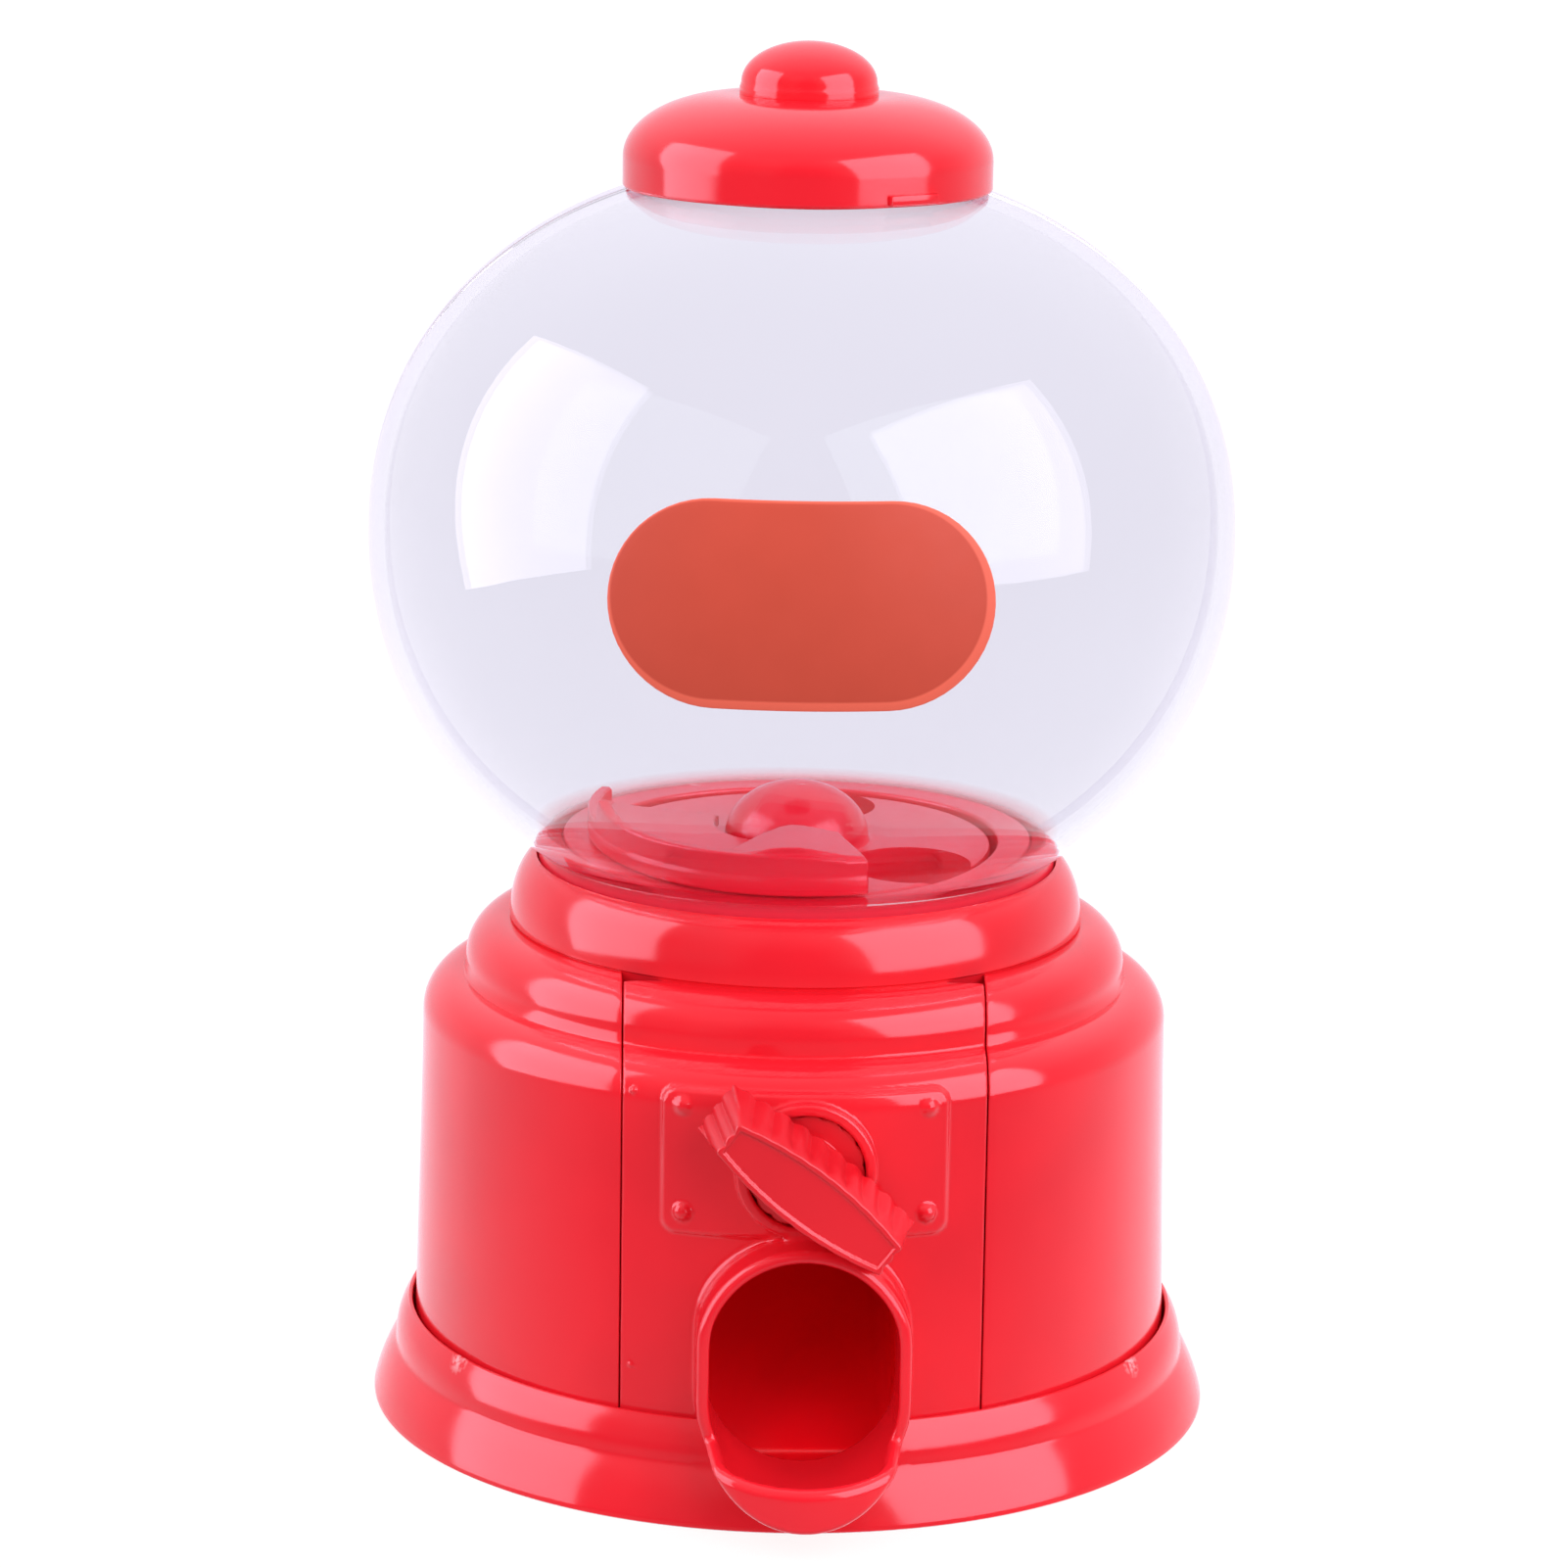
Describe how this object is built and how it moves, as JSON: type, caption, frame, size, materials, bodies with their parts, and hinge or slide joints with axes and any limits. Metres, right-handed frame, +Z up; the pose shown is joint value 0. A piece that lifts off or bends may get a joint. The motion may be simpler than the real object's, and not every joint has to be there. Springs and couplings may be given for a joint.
{
  "type": "gumball machine",
  "caption": "Small table-top gumball dispenser: clear globe with a lift-off lid on a stepped red body, with a turn knob, a pocket wheel and a spout with a tray.",
  "frame": {"origin": "centre of the flat underside, on the axis of the globe and body", "axes": "+Z up, -Y out of the front through the knob and spout, +X to the right seen from the front"},
  "size_m": [0.0858, 0.0939, 0.1374],
  "materials": {
    "red_plastic": "glossy injection-moulded red",
    "inner_red_plastic": "glossy injection-moulded red, a little duller",
    "clear_plastic": "clear polystyrene, polished",
    "label_vinyl": "blank coral vinyl sticker with a paler edge",
    "white_plastic": "natural white acetal",
    "steel": "zinc-plated screw"
  },
  "bodies": {
    "body": {"base_plinth": "red_plastic", "housing": "red_plastic", "front_panel": "red_plastic", "chute_ramp": "inner_red_plastic", "hopper": "inner_red_plastic", "guard_hood": "inner_red_plastic", "bearing_cap": "inner_red_plastic", "globe_front": "clear_plastic", "globe_rear": "clear_plastic", "label": "label_vinyl", "hopper_screw_1": "steel", "hopper_screw_2": "steel", "hopper_screw_3": "steel", "bearing_screw_1": "steel", "bearing_screw_2": "steel"},
    "knob_assembly": {"knob": "red_plastic", "knob_shaft": "inner_red_plastic", "drive_pinion": "white_plastic", "pinion_screw": "steel"},
    "rotor_assembly": {"rotor": "inner_red_plastic", "crown_gear": "white_plastic", "rotor_screw": "steel"},
    "lid_assembly": {"lid": "red_plastic", "lid_knob": "red_plastic"}
  },
  "joints": [
    {"name": "knob_turn", "type": "hinge", "parent": "body", "child": "knob_assembly", "pos_m": [0, -0.0394, 0.0348], "axis": [0, -1, 0], "range_deg": [0, 75.5]},
    {"name": "rotor_turn", "type": "hinge", "parent": "body", "child": "rotor_assembly", "pos_m": [0, 0, 0.048], "axis": [0, 0, 1], "range_deg": [-113.5, 0]},
    {"name": "lid_lift", "type": "slide", "parent": "body", "child": "lid_assembly", "axis": [0, 0, 1], "range_m": [0, 0.03]}
  ],
  "couplings": [
    {"joint": "rotor_turn", "follows": "knob_turn", "ratio": -1.5}
  ]
}
